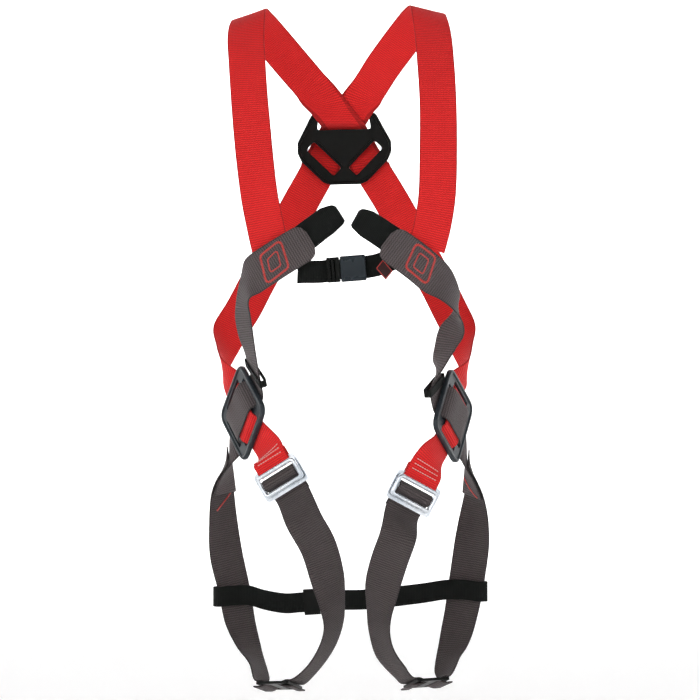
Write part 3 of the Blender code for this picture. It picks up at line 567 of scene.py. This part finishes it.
class Strap:
    """A woven band: a smooth path through its stations, with a section whose edges are rounded."""

    def __init__(self, stations, width=45.0, thick=2.0, spacing=3.2, wave=0.25, seed=1, tip=0.0,
                 square=0.0):
        rows = [np.concatenate([p, a * (w or width)]) for p, a, w in stations]
        widths = [w or width for _, _, w in stations]
        rows = [2 * rows[0] - rows[1]] + rows + [2 * rows[-1] - rows[-2]]
        path = []
        for i in range(1, len(rows) - 2):
            p0, p1, p2, p3 = rows[i - 1], rows[i], rows[i + 1], rows[i + 2]
            count = max(3, int(np.linalg.norm((p2 - p1)[:3]) / spacing + 0.5))
            gap = [max(0.3, np.linalg.norm((b - a)[:3]) ** 0.5) for a, b in ((p0, p1), (p1, p2), (p2, p3))]
            leave = ((p1 - p0) / gap[0] - (p2 - p0) / (gap[0] + gap[1]) + (p2 - p1) / gap[1]) * gap[1]
            arrive = ((p2 - p1) / gap[1] - (p3 - p1) / (gap[1] + gap[2]) + (p3 - p2) / gap[2]) * gap[1]
            for step in range(count):
                t = step / count
                row = ((2 * t**3 - 3 * t**2 + 1) * p1 + (t**3 - 2 * t**2 + t) * leave
                       + (3 * t**2 - 2 * t**3) * p2 + (t**3 - t**2) * arrive)
                path.append((row, widths[i - 1] * (1 - t) + widths[i] * t))
        path.append((rows[-2], widths[-1]))
        centre = np.array([row[:3] for row, _ in path])
        across = np.array([row[3:] for row, _ in path])
        across /= np.linalg.norm(across, axis=1)[:, None]
        ahead = np.gradient(centre, axis=0)
        ahead /= np.linalg.norm(ahead, axis=1)[:, None]
        self.length = np.concatenate([[0], np.cumsum(np.linalg.norm(np.diff(centre, axis=0), axis=1))])
        free = (np.clip((self.length - START_HOLD) / HOLD_FADE, 0, 1)
                * np.clip((self.length[-1] - self.length - END_HOLD) / HOLD_FADE, 0, 1) * square)
        across -= ahead * ((ahead * across).sum(axis=1) * free)[:, None]
        across /= np.linalg.norm(across, axis=1)[:, None]
        normal = np.cross(ahead, across)
        normal /= np.linalg.norm(normal, axis=1)[:, None]
        phase = seed * 1.7
        fade = np.minimum(1, np.minimum(self.length, self.length[-1] - self.length) / 30)
        ripple = wave * fade * (np.sin(self.length / 37 + phase)
                                + 0.6 * np.sin(self.length / 17 + 2.1 * phase))
        self.centre = centre + normal * (ripple * 0.35)[:, None]
        self.across, self.normal, self.ahead = across, normal, ahead
        self.width = np.array([w for _, w in path]) * (1 + 0.006 * np.sin(self.length / 23 + phase))
        if tip:
            short = np.clip(1 - self.length / tip, 0, 1)
            self.width *= 0.42 + 0.58 * np.sqrt(np.maximum(0, 1 - short**2))
        self.thick = thick

    def nearest(self, point):
        """Distance along the strap of the row nearest to a point."""
        return float(self.length[np.argmin(np.linalg.norm(self.centre - np.array(point), axis=1))])

    def locate(self, point):
        """(distance along, distance across) of the spot on the strap beside a point in space."""
        gap = np.array(point) - self.centre
        u = (gap * self.across).sum(axis=1)
        off = (gap * self.normal).sum(axis=1)
        left = gap - self.across * u[:, None] - self.normal * off[:, None]
        miss = np.linalg.norm(left, axis=1) + 0.5 * abs(off) + 4 * np.maximum(0, abs(u) - 26)
        i = int(np.argmin(miss))
        return float(self.length[i] + left[i].dot(self.ahead[i])), float(u[i])

    def at(self, along, u, face, lift=0.0):
        """Point on a face (+1 or -1) at a distance along, u from the middle, raised off the surface."""
        def pick(values):
            return np.array([np.interp(along, self.length, values[:, k]) for k in range(3)])

        normal = pick(self.normal)
        return pick(self.centre) + pick(self.across) * u + normal * face * (self.thick / 2 + lift)

    def face_towards(self, along, direction):
        """Which face, +1 or -1, looks in a direction at a distance along."""
        i = int(np.argmin(abs(self.length - along)))
        return 1 if self.normal[i].dot(np.array(direction)) > 0 else -1

    def build(self, name, material, slot, *nodes, pieces=()):
        ring = [(s, 1) for s in SECTION] + [(s, -1) for s in SECTION[-2:0:-1]]
        count = len(self.length)
        points, uvs = [], []
        for i in range(count):
            half = self.width[i] / 2
            for s, face in ring:
                lift = self.thick / 2 * half_thickness(s) * face
                points.append((self.centre[i] + self.across[i] * (s * half) + self.normal[i] * lift) * MM)
                uvs.append((s * half * MM, self.length[i] * MM))
        size = len(ring)
        faces = []
        for i in range(count - 1):
            for j in range(size):
                k = (j + 1) % size
                faces.append((i * size + j, i * size + k, (i + 1) * size + k, (i + 1) * size + j))
        faces.append(tuple(range(size))[::-1])
        faces.append(tuple(range((count - 1) * size, count * size)))
        obj = mesh_object(name, points, faces, material, uvs)
        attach(obj, WEBBING if nodes[0] != "right_chest_strap" else "chest_release")
        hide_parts(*nodes)
        return obj


def mesh_object(name, points, faces, material, uvs=None):
    mesh = bpy.data.meshes.new(name)
    mesh.from_pydata([tuple(p) for p in points], [], faces)
    if uvs is not None:
        layer = mesh.uv_layers.new(name="UVMap")
        corner = np.zeros(len(mesh.loops), np.int32)
        mesh.loops.foreach_get("vertex_index", corner)
        layer.data.foreach_set("uv", np.array(uvs, np.float32)[corner].reshape(-1))
    bm = bmesh.new()
    bm.from_mesh(mesh)
    bmesh.ops.recalc_face_normals(bm, faces=bm.faces)
    bm.to_mesh(mesh)
    bm.free()
    mesh.materials.append(material)
    mesh.shade_smooth()
    obj = bpy.data.objects.new(name, mesh)
    bpy.context.scene.collection.objects.link(obj)
    return obj


class Threads:
    """Gathers lengths of sewing thread as thin tubes in one mesh."""

    sides = 6

    def __init__(self, radius):
        self.radius = radius
        self.points, self.faces = [], []

    def tube(self, line):
        line = [np.array(p, float) for p in line]
        start = len(self.points)
        for i, point in enumerate(line):
            ahead = line[min(i + 1, len(line) - 1)] - line[max(i - 1, 0)]
            ahead /= np.linalg.norm(ahead)
            side = np.cross(ahead, (0.31, 0.52, 0.79))
            side /= np.linalg.norm(side)
            other = np.cross(ahead, side)
            shrink = 0.45 if i in (0, len(line) - 1) else 1.0
            for k in range(self.sides):
                angle = 2 * math.pi * k / self.sides
                offset = (side * math.cos(angle) + other * math.sin(angle)) * self.radius * shrink
                self.points.append((point + offset) * MM)
        n = self.sides
        for i in range(len(line) - 1):
            for k in range(n):
                a = start + i * n
                self.faces.append((a + k, a + (k + 1) % n, a + n + (k + 1) % n, a + n + k))
        self.faces.append(tuple(start + k for k in range(n))[::-1])
        last = start + (len(line) - 1) * n
        self.faces.append(tuple(last + k for k in range(n)))

    def running(self, strap, a, b, face, pitch=3.2, gap=0.7):
        """Straight row of stitches from a to b, each (distance along, distance across)."""
        a, b = np.array(a, float), np.array(b, float)
        count = max(1, int(np.linalg.norm(b - a) / pitch + 0.5))
        for i in range(count):
            lo, hi = (i + gap / pitch / 2) / count, (i + 1 - gap / pitch / 2) / count
            spots = [a + (b - a) * (lo + (hi - lo) * t) for t in (0, 0.25, 0.5, 0.75, 1)]
            lifts = (-0.25, 0.18, 0.28, 0.18, -0.25)
            self.tube([strap.at(p[0], p[1], face, lift) for p, lift in zip(spots, lifts)])

    def satin(self, strap, corners, face, reach=1.9, pitch=0.85, closed=True):
        """Dense zigzag of thread along a path of (distance along, distance across) corners."""
        corners = [np.array(c, float) for c in corners]
        if closed:
            corners.append(corners[0])
        run = np.array(corners)
        far = np.concatenate([[0], np.cumsum(np.linalg.norm(np.diff(run, axis=0), axis=1))])
        spots = np.arange(0, far[-1], pitch / 2)
        middle = np.stack([np.interp(spots, far, run[:, k]) for k in (0, 1)], axis=1)
        ahead = np.gradient(middle, axis=0)
        ahead /= np.linalg.norm(ahead, axis=1)[:, None]
        line = []
        for i, (spot, way) in enumerate(zip(middle, ahead)):
            side = np.array([-way[1], way[0]]) * reach * (0, 1, 0, -1)[i % 4]
            line.append(strap.at(*(spot + side), face, 0.42 if i % 2 == 0 else -0.1))
        self.tube(line)

    def build(self, name, material, slot=None):
        obj = mesh_object(name, self.points, self.faces, material)
        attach(obj, WEBBING)
        return obj


def shoulder_strap(front, back, dorsal, flank, hip, thigh, buckle, seed):
    """Chest, over the shoulder, across the back, round the far hip and down to the thigh buckle."""
    sign = 1 if buckle.u.dot(thigh[0][1]) > 0 else -1
    end = [(point, across * sign, width) for point, across, width in buckle.red_path()]
    return Strap(front + back + dorsal + turned(flank + hip.red_path() + thigh + end), seed=seed)


def side_strap(side, hip, rear_top, seed):
    """From the chest round the flank, through the hip plate and on to the seam with the leg loop."""
    entry = matched(hip.grey_path(), side[-1][1])
    return Strap(side + entry + matched(rear_top, entry[-1][1]), seed=seed, tip=15.0)


def rear_leg_strap(side, rear_top, leg, adjuster, seed):
    """From its lap against the side strap down the back of the thigh to the leg adjuster."""
    start = matched(lapped(rear_top, 3.6, (side, 0.3, 0)), leg[0][1])
    return Strap(start + leg + matched(adjuster.strap_path(-1), leg[-1][1]), seed=seed, square=1.0)


def front_leg_strap(buckle, leg, adjuster, seed):
    """From the thigh buckle down the inner thigh to the leg adjuster."""
    start = matched(buckle.grey_path()[::-1], leg[0][1])
    return Strap(start + leg + matched(adjuster.strap_path(1), leg[-1][1]), seed=seed, square=1.0)


def sleeve(stations):
    """A connection loop inside its sleeve: full width along its sides, drawn in where it folds back."""
    widths = (32, 33, 33.5, 33.5, 27, 18, 27, 32.5, 32, 31)
    return [(point, across, width) for (point, across, _), width in zip(stations, widths)]


right_shoulder = shoulder_strap(RIGHT_FRONT, RIGHT_BACK, RIGHT_DORSAL, LEFT_FLANK, LEFT_HIP, LEFT_THIGH,
                                LEFT_BUCKLE, 1)
left_shoulder = shoulder_strap(LEFT_FRONT, LEFT_BACK, LEFT_DORSAL, RIGHT_FLANK, RIGHT_HIP, RIGHT_THIGH,
                               RIGHT_BUCKLE, 2)
right_side = side_strap(RIGHT_SIDE, RIGHT_HIP, RIGHT_REAR_TOP, 3)
left_side = side_strap(LEFT_SIDE, LEFT_HIP, LEFT_REAR_TOP, 4)
right_rear = rear_leg_strap(-1, RIGHT_REAR_TOP, RIGHT_REAR_LEG, RIGHT_ADJUSTER, 5)
left_rear = rear_leg_strap(1, LEFT_REAR_TOP, LEFT_REAR_LEG, LEFT_ADJUSTER, 6)
right_front = front_leg_strap(RIGHT_BUCKLE, RIGHT_FRONT_LEG, RIGHT_ADJUSTER, 7)
left_front = front_leg_strap(LEFT_BUCKLE, LEFT_FRONT_LEG, LEFT_ADJUSTER, 8)
right_loop = Strap(sleeve(RIGHT_LOOP), 32.5, 3.4, 1.6, 0.0)
left_loop = Strap(sleeve(LEFT_LOOP), 32.5, 3.4, 1.6, 0.0)
right_chest = Strap(RIGHT_CHEST_STRAP, 27.0, 2.0, 2.0, 0.1)
left_chest = Strap(LEFT_CHEST_STRAP, 27.0, 2.0, 2.0, 0.1)
link = Strap(LINK, 25.0, 2.0, 3.0, 0.15, 5)


def rounded(points, radius, steps=8):
    """An outline with each corner replaced by a smooth bend."""
    made = []
    for i, point in enumerate(points):
        here = Vector(point)
        before, after = Vector(points[i - 1]) - here, Vector(points[(i + 1) % len(points)]) - here
        reach = min(radius / math.tan(before.angle(after) / 2), before.length * 0.49, after.length * 0.49)
        start, end = here + before.normalized() * reach, here + after.normalized() * reach
        for step in range(steps + 1):
            t = step / steps
            made.append(tuple((start * (1 - t) + here * t) * (1 - t) + (here * (1 - t) + end * t) * t))
    return made


def hip_keeper(strap_end, hip):
    """Elastic band closed round the grey strap just before it enters the hip plate."""
    low, low_across = strap_end[0], strap_end[1]
    entry = hip.grey_path()[0][0]
    side = (low_across + hip.p).normalized()
    centre = low * 0.80 + entry * 0.20 + side * 3.4 - hip.out * 1.4
    along = (entry - low).normalized()
    side = (side - along * along.dot(side)).normalized()
    out = along.cross(side)
    outline = rounded([(-28, -4.3), (28, -4.3), (28, 4.3), (-28, 4.3)], 2.0, 3)
    outline = outline + [outline[0], outline[1]]
    ring = [(centre + side * a + out * b, along, None) for a, b in outline]
    return Strap(ring, 10.2, 0.9, 2.5, 0.0)


keeper_right = hip_keeper(RIGHT_SIDE[-1], RIGHT_HIP)
keeper_left = hip_keeper(LEFT_SIDE[-1], LEFT_HIP)
tab = Strap([station(40, -105.2, -322, -0.62, 0, -0.78), station(46, -105.4, -329, -0.62, 0, -0.78),
             station(52, -105.6, -336, -0.62, 0, -0.78)], 14.0, 0.8, 1.5, 0.0)

# ---------------------------------------------------------------- sewing

FRONT = (0, -1, 0)


def sewn_box(strap, outer, inner, name):
    """Two nested diamonds of dense red thread where the side strap is sewn over the shoulder strap."""
    face = strap.face_towards(outer[0][0], FRONT)
    threads = Threads(0.50)
    threads.satin(strap, rounded(outer, 5, 4), face, 1.55)
    threads.satin(strap, rounded(inner, 2.5, 3), face, 0.75, 0.8)
    return threads.build(name, RED_THREAD, "red_webbing")


def sewn_rows(strap, buckle, name):
    """Three pale rows, just above the buckle, that hold the folded end of the shoulder strap."""
    threads = Threads(0.55)
    for k in range(3):
        row = buckle.centre - buckle.v * (26 + 6.2 * k) - buckle.out * 4.1
        a, b = strap.locate(row - buckle.u * 17), strap.locate(row + buckle.u * 17)
        threads.running(strap, a, b, strap.face_towards(a[0], FRONT), 3.4, 0.4)
    return threads.build(name, PALE_THREAD)


def bar_tack(strap, a, b, name):
    """One short dense bar of red thread from a to b."""
    threads = Threads(0.45)
    threads.satin(strap, [a, b], strap.face_towards(a[0], FRONT), 1.3, 0.8, closed=False)
    return threads.build(name, RED_THREAD, "red_webbing")


def hem(strap, rows, material, slot, name):
    """Rows of running stitches across the end of a strap."""
    threads = Threads(0.30)
    for a, b in rows:
        threads.running(strap, a, b, strap.face_towards(a[0], FRONT), 2.4, 0.6)
    return threads.build(name, material, slot)


right_box = sewn_box(right_side, [(31, -18), (40, 15.5), (73, 18.5), (62, -14.5)],
                     [(41, -9.5), (47, 8.5), (62, 9), (56.5, -6)], "right_chest_stitching")
left_box = sewn_box(left_side, [(31, -18), (60, -18.5), (72, 13.5), (38, 13.5)],
                    [(41, -11), (55, -11), (60, 7), (45, 7)], "left_chest_stitching")
left_rows = sewn_rows(left_shoulder, RIGHT_BUCKLE, "right_thigh_stitching")
right_rows = sewn_rows(right_shoulder, LEFT_BUCKLE, "left_thigh_stitching")
right_tack = bar_tack(right_rear, (55, 18), (78, -11), "right_seam_bar_tack")
left_tack = bar_tack(left_side, left_side.locate((151, 54, -583)), left_side.locate((166, 30, -608)),
                     "left_seam_bar_tack")
right_end = hem(right_side, [((7, -11), (7, 11)), ((14, -19), (14, 19))], DARK_THREAD, "grey_webbing",
                "right_end_stitching")
left_end = hem(left_side, [((7, -11), (7, 11)), ((14, -19), (14, 19))], DARK_THREAD, "grey_webbing",
               "left_end_stitching")
edging = Threads(0.34)
low, high = 0.9, float(tab.length[-1]) - 0.9
tab_face = tab.face_towards(low, FRONT)
edging.satin(tab, [(low, -6), (low, 6), (high, 6), (high, -6)], tab_face, 0.42, 0.7)
border = edging.build("size_label_border", RED_THREAD, "red_webbing")

# ---------------------------------------------------------------- the bands as pieces

right_shoulder.build("right_shoulder_webbing", RED, "red_webbing", "right_shoulder_strap",
                     pieces=[right_rows])
left_shoulder.build("left_shoulder_webbing", RED, "red_webbing", "left_shoulder_strap",
                    pieces=[left_rows])
right_side.build("right_side_webbing", GREY, "grey_webbing", "right_side_strap",
                 pieces=[right_box, right_end])
left_side.build("left_side_webbing", GREY, "grey_webbing", "left_side_strap",
                pieces=[left_box, left_end, left_tack])
right_rear.build("right_rear_leg_webbing", LEG_GREY, "grey_webbing", "right_rear_leg_strap",
                 pieces=[right_tack])
left_rear.build("left_rear_leg_webbing", LEG_GREY, "grey_webbing", "left_rear_leg_strap")
right_front.build("right_front_leg_webbing", LEG_GREY, "grey_webbing", "right_front_leg_strap")
left_front.build("left_front_leg_webbing", LEG_GREY, "grey_webbing", "left_front_leg_strap")
right_loop.build("right_chest_sleeve", BLACK, "black_webbing", "right_chest_loop")
left_loop.build("left_chest_sleeve", BLACK, "black_webbing", "left_chest_loop")
right_chest.build("right_chest_webbing", BLACK, "black_webbing", "right_chest_strap")
left_chest.build("left_chest_webbing", BLACK, "black_webbing", "left_chest_strap")
link.build("leg_link_webbing", BLACK, "black_webbing", "leg_link_strap")

keeper_right.build("right_elastic_keeper", BLACK, "black_webbing", "right_hip_keeper")
keeper_left.build("left_elastic_keeper", BLACK, "black_webbing", "left_hip_keeper")
tab.build("size_label", LABEL, "label_cloth", "size_tab", pieces=[border])


# ---------------------------------------------------------------- raised rims of the moulded plates

def bead(name, outline, frame_at, right, up, lift, radius, material, closed=True, flat=0.6,
         body=WEBBING):
    """A half-round moulded ridge that follows an outline on a plate's face."""
    out = Vector(right).cross(Vector(up))
    count = len(outline)
    sides = 10
    points, faces = [], []
    for i, (x, y) in enumerate(outline):
        before = outline[i - 1] if closed or i else outline[i]
        after = outline[(i + 1) % count] if closed or i < count - 1 else outline[i]
        run = Vector((after[0] - before[0], after[1] - before[1])).normalized()
        side = Vector((run.y, -run.x))
        for k in range(sides):
            angle = 2 * math.pi * k / sides
            r = radius * (0.5 if not closed and i in (0, count - 1) else 1)
            a, b = x + side.x * math.cos(angle) * r, y + side.y * math.cos(angle) * r
            points.append((frame_at + right * a + up * b + out * (lift + math.sin(angle) * r * flat)) * MM)
    spans = count if closed else count - 1
    for i in range(spans):
        for k in range(sides):
            a, b = i * sides, ((i + 1) % count) * sides
            faces.append((a + k, a + (k + 1) % sides, b + (k + 1) % sides, b + k))
    if not closed:
        faces.append(tuple(range(sides))[::-1])
        faces.append(tuple(range((count - 1) * sides, count * sides)))
    obj = mesh_object(name, points, faces, material)
    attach(obj, body)


for name, buckle in (("right", RIGHT_BUCKLE), ("left", LEFT_BUCKLE)):
    across = buckle.v if buckle.u.cross(buckle.v).dot(buckle.out) > 0 else -buckle.v
    w, h = 25.6, 12.1
    bead(name + "_thigh_buckle_round_rim", rounded([(-w, -h), (w, -h), (w, h), (-w, h)], 5),
         buckle.centre, buckle.u, across, 1.5, 2.4, STEEL, flat=0.8,
         body=name + "_thigh_frame")

for name, hip in (("right", RIGHT_HIP), ("left", LEFT_HIP)):
    h = 42.0
    across = hip.q if hip.p.cross(hip.q).dot(hip.out) > 0 else -hip.q
    bead(name + "_hip_plate_rim", rounded([(-h, -h), (h, -h), (h, h), (-h, h)], 13),
         hip.centre, hip.p, across, 2.0, 2.3, SLATE)

roll = math.radians(1.4)
DORSAL_RIGHT = Vector((math.cos(roll), 0, math.sin(roll)))
DORSAL_UP = Vector((-math.sin(roll), 0, math.cos(roll)))
DORSAL_CENTRE = Vector((-2.0, 105.0, -171.0))
half = [(37.5, 43.5), (49.5, 22), (57, 8.2), (57, -3.2), (53, -12.6), (26.8, -38.6), (18.4, -42)]
whole = half + [(-x, z) for x, z in reversed(half)]
bead("dorsal_plate_rim", rounded(whole, 6, 4), DORSAL_CENTRE, DORSAL_RIGHT, DORSAL_UP, 2.0, 1.5,
     BLACK_PLASTIC)
for name, sign in (("left", 1), ("right", -1)):
    run = Vector((0.7071, sign * 0.7071)) * sign
    up = Vector((-sign * 0.7071, 0.7071))
    start = Vector((sign * 26.4, -11.5)) + up * 9.4
    line = [tuple(start + run * t) for t in np.linspace(-25, 22, 12)]
    bead(name + "_dorsal_ridge", line, DORSAL_CENTRE, DORSAL_RIGHT, DORSAL_UP, 2.0, 1.25,
         BLACK_PLASTIC, closed=False, flat=0.9)


# ---------------------------------------------------------------- moulded and steel parts keep their CAD shape

def dress(names, material):
    """Gives CAD nodes their look; their shape and place stay as they are."""
    for name in names:
        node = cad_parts[name]
        node.data.materials.clear()
        node.data.materials.append(material)


dress(["dorsal_plate", "chest_plug", "right_leg_adjuster", "left_leg_adjuster", "link_slider"],
      BLACK_PLASTIC)
dress(["right_hip_plate", "left_hip_plate", "chest_prong_upper", "chest_prong_lower"], SLATE)
dress(["chest_socket"], SOCKET)
dress(["dorsal_ring", "right_thigh_buckle_rear_frame", "right_thigh_buckle_front_frame",
       "left_thigh_buckle_rear_frame", "left_thigh_buckle_front_frame"], STEEL)


# ---------------------------------------------------------------- studio

def studio():
    """Pale round floor that curves up into a plain wall on every side, well outside any camera."""
    floor, reach, bend = -0.93, 5.6, 1.2
    profile = [(0.0, floor), (reach, floor)]
    for step in range(1, 13):
        angle = math.radians(90 * step / 12)
        profile.append((reach + bend * math.sin(angle), floor + bend * (1 - math.cos(angle))))
    profile.append((reach + bend, 4.6))
    around = 72
    points, faces = [(0.0, 0.0, floor)], []
    for radius, z in profile[1:]:
        for k in range(around):
            angle = 2 * math.pi * k / around
            points.append((radius * math.cos(angle), radius * math.sin(angle), z))
    for k in range(around):
        faces.append((0, 1 + k, 1 + (k + 1) % around))
    for i in range(len(profile) - 2):
        a, b = 1 + i * around, 1 + (i + 1) * around
        for k in range(around):
            faces.append((a + k, a + (k + 1) % around, b + (k + 1) % around, b + k))
    s = Shader("studio_paper")
    paper = s.mix(s.noise(3.0, 2.0), rgb(0.88, 0.88, 0.88), rgb(0.93, 0.93, 0.93))
    material = s.finish(paper, 0.9, Emission_Color=rgb(1.0, 1.0, 1.0), Emission_Strength=0.30)
    mesh_object("studio_floor_and_wall", points, faces, material)


def soft_light(name, place, aim, size, power):
    data = bpy.data.lights.new(name, "AREA")
    data.shape = "RECTANGLE"
    data.size, data.size_y = size
    data.energy = power
    obj = bpy.data.objects.new(name, data)
    bpy.context.scene.collection.objects.link(obj)
    obj.location = place
    obj.rotation_euler = (Vector(aim) - Vector(place)).to_track_quat("-Z", "Y").to_euler()


studio()
soft_light("key_light", (-1.5, -3.0, 0.75), (0, 0, -0.4), (1.5, 1.5), 26)
soft_light("fill_light", (2.0, -2.6, 0.2), (0, 0, -0.45), (1.8, 1.8), 5)
soft_light("top_light", (0.0, 0.9, 2.2), (0, 0.1, -0.3), (2.2, 1.2), 6)
soft_light("wall_light_left", (-2.6, 3.0, 0.8), (-1.2, 6.6, 0.0), (1.4, 2.4), 165)
soft_light("wall_light_right", (2.6, 3.0, 0.8), (1.2, 6.6, 0.0), (1.4, 2.4), 165)
soft_light("back_light", (1.2, 3.6, 1.6), (0, 0.1, -0.35), (1.8, 1.8), 14)

world = bpy.data.worlds.new("studio_world")
world.use_nodes = True
world.node_tree.nodes["Background"].inputs["Color"].default_value = rgb(1.0, 1.0, 1.0)
world.node_tree.nodes["Background"].inputs["Strength"].default_value = 0.06
bpy.context.scene.world = world
bpy.context.scene.view_settings.view_transform = "Standard"

camera_data = bpy.data.cameras.new("camera")
camera_data.lens = 150.5
camera_data.sensor_width = 36.0
camera_data.clip_end = 30.0
camera = bpy.data.objects.new("camera", camera_data)
bpy.context.scene.collection.objects.link(camera)
camera.location = (0.005, -3.6, -0.425)
camera.rotation_euler = (math.radians(90), 0, 0)
bpy.context.scene.camera = camera
